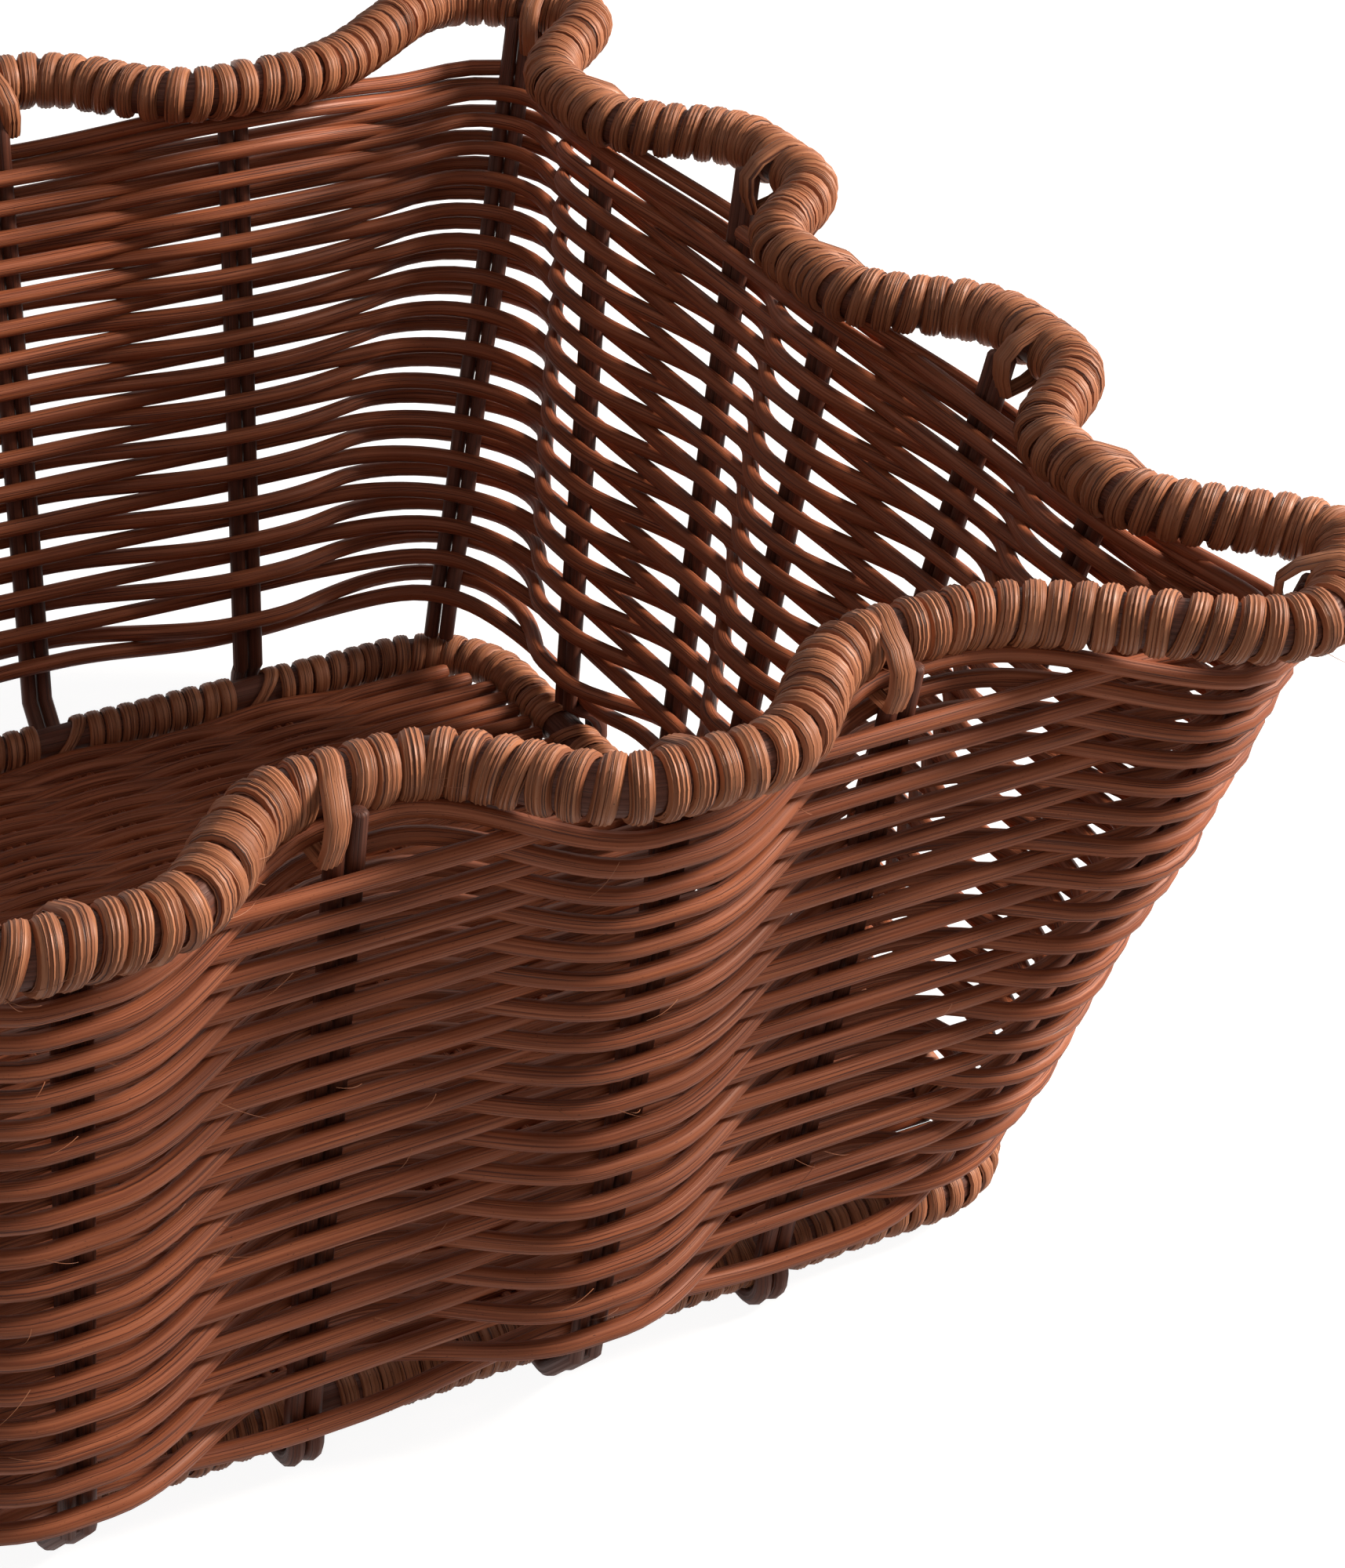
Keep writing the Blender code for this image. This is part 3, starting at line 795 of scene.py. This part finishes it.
def windStrip(name, ring, length, marks, look, bindings=(), jumps=()):
    turns = len(marks)
    steps = turns * look["steps"]
    profile = stripProfile(look["width"], look["thickness"])
    obj, row, column = rolled(name, steps, len(profile))
    column = column % len(profile)
    phase = np.arange(steps + 1) / look["steps"]
    number = np.minimum(phase.astype(int), turns - 1)
    share = phase - number
    random = np.random.RandomState(look["seed"])

    def perTurn(low, high):  # one random value a turn, eased from turn to turn
        values = random.uniform(low, high, turns + 1)
        values[-1] = values[0]
        smooth = smoothed(share)
        return values[number] * (1 - smooth) + values[number + 1] * smooth

    marks = np.append(marks, marks[0] + length[-1])
    step = np.where(np.isin(number, jumps), eased(share, *splitStrip["jump"]), share)
    turn = 2 * math.pi * phase
    place = marks[number] + (marks[number + 1] - marks[number]) * step
    place += perTurn(-1, 1) * look["slide"] + perTurn(-1, 1) * look["lean"] * np.sin(turn)
    radius = look["radius"] - look["thickness"] + perTurn(*splitStrip["proud"]) * look["proud"]
    shift = np.zeros(steps + 1)
    broad = np.ones(steps + 1)
    for mark, side in bindings:  # inner pairs are bound on the outer face, outer ones on the inner
        middle = mark if side < 0 else mark + 0.5
        near = (phase - middle + turns / 2) % turns - turns / 2
        on = np.abs(near) <= 0.5
        angle = near[on] * 2 * math.pi
        angle = angle if side < 0 else -angle
        angle = (angle + math.pi) % (2 * math.pi) - math.pi
        reach = hullReach(look, angle)
        radius[on] += reach - look["radius"]
        ends = np.cos(near[on] * math.pi) ** 2
        shift[on] += look["bindShift"] * (0.5 - 0.5 * np.sin(angle)) * ends
        broad[on] += (look["bindWidth"] - 1) * ends
    spot, ahead = alongRing(ring, length, place + shift)
    out = unit(np.cross(ahead, np.broadcast_to((0.0, 0.0, 1.0), ahead.shape)))
    up = np.cross(out, ahead)
    spoke = out * np.cos(turn)[:, None] + up * np.sin(turn)[:, None]
    wide = perTurn(*splitStrip["broad"]) * broad
    tip = perTurn(*splitStrip["tip"])
    across = profile[column, 0] * wide[row]
    above = profile[column, 1] + across * tip[row]
    points = spot[row] + ahead[row] * across[:, None] + spoke[row] * (radius[row] + above)[:, None]
    run = turn * look["radius"] * mesh["grain"]
    sideGrain = profile[column, 0] * mesh["grain"]
    grain = np.stack((sideGrain, above * splitStrip["depthGrain"], run[row]), 1)
    shapeGrid(obj, points, grain)
    tidyMesh(obj)
    return obj


rim = {
    "offset": 0.009725,
    "halfRest": 0.00575,
    "ease": 0.4,
    "points": 22,
    "core": 0.0039,
    "coreSides": 12,
    "bindSide": -0.0012,  # of a binding from its pair's middle
    "afterBinding": 0.0046,  # from a binding on the outside to the next turn
    "uneven": 0.00018,
    "seed": 41,
}


def rimLine():  # straight past each stake pair and swinging freely between them
    rests = []
    for place, side, _ in pairs:
        middle = wallPoints([place], wall["rimHeight"], side * rim["offset"], False)[0]
        out = outline(wall["rim"], [place])[1][0]
        along = sideways(out)
        rests.append((middle - along * rim["halfRest"], middle + along * rim["halfRest"], middle))
    line = []
    for number, (rest, start, middle) in enumerate(rests):
        end, leaving, _ = rests[(number + 1) % len(rests)]
        handle = np.linalg.norm(end - start) * rim["ease"]
        first = start + unit(start - rest) * handle
        second = end - unit(leaving - end) * handle
        for share in np.linspace(0, 1, 5)[:-1]:
            line.append(rest + (start - rest) * share)
        for share in np.linspace(0, 1, rim["points"])[:-1]:
            back = 1 - share
            leave = start * back ** 3 + first * 3 * back * back * share
            line.append(leave + second * 3 * back * share ** 2 + end * share ** 3)
    return np.array(line), [middle for _, _, middle in rests]


def makeRim():
    line, middles = rimLine()
    ring, length = ringLine(line)
    spots = [nearestOnRing(ring, length, middle) for middle in middles]
    random = np.random.RandomState(rim["seed"])
    pitch = rimWrap["pitch"]
    marks = []
    bindings = []
    spots = [spot + stakes["moved"].get(name, 0) for spot, (_, _, name) in zip(spots, pairs)]
    for number, (spot, (_, side, _)) in enumerate(zip(spots, pairs)):
        after = spots[(number + 1) % len(spots)]
        span = (after - spot) % length[-1]
        nextSide = pairs[(number + 1) % len(pairs)][1]
        bindings.append((len(marks), side))
        first = spot + rim["bindSide"] - (0 if side < 0 else pitch / 2)
        begin = first + (rim["afterBinding"] if side < 0 else pitch)
        end = spot + span + rim["bindSide"] - (pitch if nextSide < 0 else pitch * 1.5)
        count = int(round((end - begin) / pitch)) + 1
        uneven = random.uniform(-1, 1, count) * rim["uneven"]
        marks += [first] + list(np.linspace(begin, end, count) + uneven)
    core = rod("rimCore", line[::2], rim["core"], rim["coreSides"], closed=True)
    # the rim's core gets the cane with painted shade, for the shade it lies in under the wrapping
    finished(core, stakeAndCoreShadeCane, "wrapping")
    strip = windStrip("rimWrapping", ring, length, np.array(marks), rimWrap, bindings)
    finished(strip, wrapCane, "wrapping", "wrapped_rim")
    print("rim done,", len(marks), "turns")


makeRim()


hoop = {
    "step": 0.002,
    "coreSides": 10,
}


def makeHoop():
    place = placesBetween(0, wall["round"], 0.0, hoop["step"])[:-1]
    line = outline(wall["hoop"], place)[0]
    line[:, 2] = stakes["hoopHeight"]
    line = line[np.linalg.norm(line - np.roll(line, 1, axis=0), axis=1) > 1e-5]
    ring, length = ringLine(line)
    spots = []
    for spot, _, name in pairs:
        if name == "corner":  # the wrapping runs on round the corners
            continue
        point = outline(wall["hoop"], [spot])[0][0]
        point[2] = stakes["hoopHeight"]
        spots.append(nearestOnRing(ring, length, point))
    marks = []
    jumps = []
    half = hoopWrap["width"] / 2 + hoopWrap["gap"]
    for number, spot in enumerate(spots):
        span = (spots[(number + 1) % len(spots)] - spot) % length[-1]
        count = int(round((span - 2 * half) / hoopWrap["pitch"])) + 1
        marks += list(np.linspace(spot + half, spot + span - half, count))
        jumps.append(len(marks) - 1)
    radius = hoopWrap["radius"] - hoopWrap["thickness"]
    core = rod("hoopCore", line[::2], radius, hoop["coreSides"], closed=True)
    # the hoop's core gets the cane with painted shade, for the shade it lies in under the wrapping
    finished(core, stakeAndCoreShadeCane, "wrapping")
    strip = windStrip("hoopWrapping", ring, length, np.array(marks), hoopWrap, jumps=jumps)
    finished(strip, wrapCane, "wrapping", "wrapped_foot_hoop")
    print("hoop done,", len(marks), "turns")


makeHoop()

# Loose fibres that stand off the front's rods and the rim
fibres = {
    "count": 46,
    "rimCount": 16,
    "heights": (0.02, 0.112),
    "aims": (-0.8, 0.3),  # of a fibre on the rim, up from straight out
    "sunk": 0.0002,
    "thin": 0.00005,
    "thickness": (0.8, 1.5),  # in parts of that
    "taper": 0.6,
    "lengths": (0.003, 0.009),
    "drops": (-0.6, 0.3),  # in parts of the length
    "lift": 0.0024,
    "curl": 1.3,
    "points": 9,
    "sides": 5,
    "seed": 77,
}


def makeFibres():
    random = np.random.RandomState(fibres["seed"])
    line, _ = rimLine()
    strands = []
    for number in range(fibres["count"] + fibres["rimCount"]):
        if number < fibres["count"]:
            place = wall["round"] * 3 / 4 + random.uniform(-1, 1, 1) * wall["halfX"]
            height = random.uniform(*fibres["heights"])
            side = sway(place, np.array([height]))[0]
            out = outline(wall["ground"], place)[1][0]
            radius = weave["thickLow"] / 2
            offset = max(side, 0) * 2 * wall["stakeOffset"] + radius
            start = wallPoints(place, height, offset)[0]
            along = sideways(out) * random.choice((-1, 1))
        else:
            spot = random.randint(len(line) * 5 // 8, len(line) * 7 // 8)
            start = line[spot]
            along = unit(line[spot + 1] - start)
            aim = np.array((0, 0, random.uniform(*fibres["aims"])))
            out = unit(np.cross(along, (0, 0, 1)) + aim)
            start = start + out * (rimWrap["radius"] - fibres["sunk"])
        length = random.uniform(*fibres["lengths"])
        drop = random.uniform(*fibres["drops"])
        share = np.linspace(0, 1, fibres["points"])[:, None]
        bow = np.array((0, 0, drop)) * share * length
        bow = bow + out * share * (fibres["curl"] - share) * fibres["lift"]
        path = start + along * share * length * random.uniform(0.5, 1) + bow
        size = fibres["thin"] * random.uniform(*fibres["thickness"])
        thick = size * (1 - fibres["taper"] * share[:, 0])
        strands.append(rod("fibre", path, thick, fibres["sides"], seed=number))
    finished(joined("looseFibres", strands), wrapCane, "wrapping")
    print("fibres done")


makeFibres()

# Floor
floor = {
    "row": 0.0030,
    "rowPitch": 0.00240,
    "rowStep": 0.0026,
    "crossRod": 0.0019,
    "crossSpread": 0.0013,  # of each cross rod's middle from its pair's
    "crossStep": 0.01,
    "middle": 0.00545,
    "swing": 0.0009,
    "inset": 0.0043,  # from the hoop's middle line
    "corner": 0.0125,
    "heightDrift": (0.03, 0.00012),
    "sideDrift": (0.04, 0.00012),
    "sides": 8,
    "rowSeed": 700,
    "crossSeed": 800,
    "sideSeed": 900,
}


def makeFloor():
    halfX = wall["hoop"][0] - floor["inset"]
    halfY = wall["hoop"][1] - floor["inset"]
    spots = np.linspace(-2, 2, 2 * wall["pairsPerSide"] - 1) * wall["reachX"] / 2
    gap = spots[1] - spots[0]
    spots = np.concatenate(([spots[0] - gap], spots, [spots[-1] + gap]))
    parts = []
    rows = int(2 * halfY / floor["rowPitch"])
    x = np.arange(-halfX, halfX, floor["rowStep"])
    for number in range(rows):
        y = -halfY + (number + 0.5) * 2 * halfY / rows
        turn = np.interp(x, spots, np.arange(len(spots)))
        lift = floor["swing"] * np.cos(math.pi * (turn + number))
        seed = floor["rowSeed"] + number
        z = floor["middle"] + lift + wander(x + 1, *floor["heightDrift"], seed)
        depth = max(0.0, abs(y) - (halfY - floor["corner"]))
        pull = floor["corner"] - math.sqrt(max(floor["corner"] ** 2 - depth ** 2, 0))
        inside = np.abs(x) < halfX - pull
        drift = wander(x + 1, *floor["sideDrift"], floor["sideSeed"] + number)
        path = np.stack((x, np.full(len(x), y) + drift, z), 1)[inside]
        parts.append(rod("floorRow", path, floor["row"] / 2, floor["sides"], seed=seed))
    y = np.arange(-halfY, halfY, floor["crossStep"])
    for number, spot in enumerate(spots[1:-1]):
        seed = floor["crossSeed"] + number
        for side in (-floor["crossSpread"], floor["crossSpread"]):
            path = np.stack((np.full(len(y), spot + side), y, np.full(len(y), floor["middle"])), 1)
            parts.append(rod("floorCross", path, floor["crossRod"] / 2, floor["sides"], seed=seed))
    obj = joined("floorWeave", parts)
    finished(obj, weaveCane, "weave", "woven_floor")
    print("floor done")


makeFloor()

# Floor of the studio, light and camera
studio = {
    "size": 8,
    "height": -0.0002,
    "ground": (0.26, 0.25, 0.24),
    "groundRough": 0.9,
    "paleness": 0.92,  # added for the camera alone, so that the lit ground shows white
    "world": 0.08,
    "worldTint": (1, 0.985, 0.97),
    "aim": (0, 0, 0.06),
}
lamps = {  # place, power, size and tint
    "key": ((1.25, -0.35, 0.85), 39.0, 0.40, (1.0, 0.92, 0.83)),
    "fill": ((-0.7, -1.1, 0.7), 1.9, 0.9, (1.0, 0.96, 0.93)),
}
shot = {
    "place": (-0.19427, -0.50164, 0.40284),
    "yaw": 0.5577,
    "pitch": 0.5625,
    "roll": -0.0518,
    "focal": 5019.0,  # in pixels of the 1715 x 2000 picture
    "longSide": 2000,
    "sensor": 36,
    "nearest": 0.01,
}


def seenDirectly(tree):  # 1 for camera, glossy and transmission rays
    light = addNode(tree, "ShaderNodeLightPath")
    total = light.outputs["Is Camera Ray"]
    for label in ("Is Glossy Ray", "Is Transmission Ray"):
        node = addNode(tree, "ShaderNodeMath", operation="MAXIMUM")
        tree.links.new(total, node.inputs[0])
        tree.links.new(light.outputs[label], node.inputs[1])
        total = node.outputs[0]
    return total


def makeStudio():
    bpy.ops.mesh.primitive_plane_add(size=studio["size"], location=(0, 0, studio["height"]))
    ground = bpy.context.object
    ground.name = "studioFloor"
    material = bpy.data.materials.new("paleFloor")
    material.use_nodes = True
    tree = material.node_tree
    shader = tree.nodes["Principled BSDF"]
    shader.inputs["Base Color"].default_value = (*studio["ground"], 1)
    shader.inputs["Roughness"].default_value = studio["groundRough"]
    shader.inputs["Emission Color"].default_value = (1, 1, 1, 1)
    glow = multiplied(tree, seenDirectly(tree), studio["paleness"])
    tree.links.new(glow, shader.inputs["Emission Strength"])
    ground.data.materials.append(material)
    world = bpy.data.worlds.new("studio")
    bpy.context.scene.world = world
    world.use_nodes = True
    tree = world.node_tree
    background = tree.nodes["Background"]
    background.inputs["Color"].default_value = (*studio["worldTint"], 1)
    strength = addNode(tree, "ShaderNodeMix", data_type="FLOAT")
    strength.inputs["A"].default_value = studio["world"]
    strength.inputs["B"].default_value = 1.0
    tree.links.new(seenDirectly(tree), strength.inputs["Factor"])
    tree.links.new(strength.outputs["Result"], background.inputs["Strength"])
    for name, settings in lamps.items():
        lamp(name, *settings)


def lamp(name, place, power, size, tint):
    bpy.ops.object.light_add(type="AREA", location=place)
    light = bpy.context.object
    light.name = name
    light.data.energy = power
    light.data.size = size
    light.data.color = tint
    aim = Vector(studio["aim"]) - Vector(place)
    light.rotation_euler = aim.to_track_quat("-Z", "Y").to_euler()


def makeCamera():
    bpy.ops.object.camera_add(location=shot["place"])
    camera = bpy.context.object
    forward = Vector((
        math.sin(shot["yaw"]) * math.cos(shot["pitch"]),
        math.cos(shot["yaw"]) * math.cos(shot["pitch"]),
        -math.sin(shot["pitch"]),
    ))
    right = forward.cross(Vector((0, 0, 1))).normalized()
    down = forward.cross(right).normalized()
    right, down = (
        right * math.cos(shot["roll"]) + down * math.sin(shot["roll"]),
        down * math.cos(shot["roll"]) - right * math.sin(shot["roll"]),
    )
    turn = Matrix((right, -down, -forward)).transposed().to_4x4()
    camera.matrix_world = Matrix.Translation(shot["place"]) @ turn
    camera.data.sensor_fit = "AUTO"
    camera.data.sensor_width = shot["sensor"]
    camera.data.lens = shot["sensor"] * shot["focal"] / shot["longSide"]
    camera.data.clip_start = shot["nearest"]
    bpy.context.scene.camera = camera


makeStudio()
makeCamera()
bpy.context.scene.view_settings.view_transform = "Standard"
print("studio done")
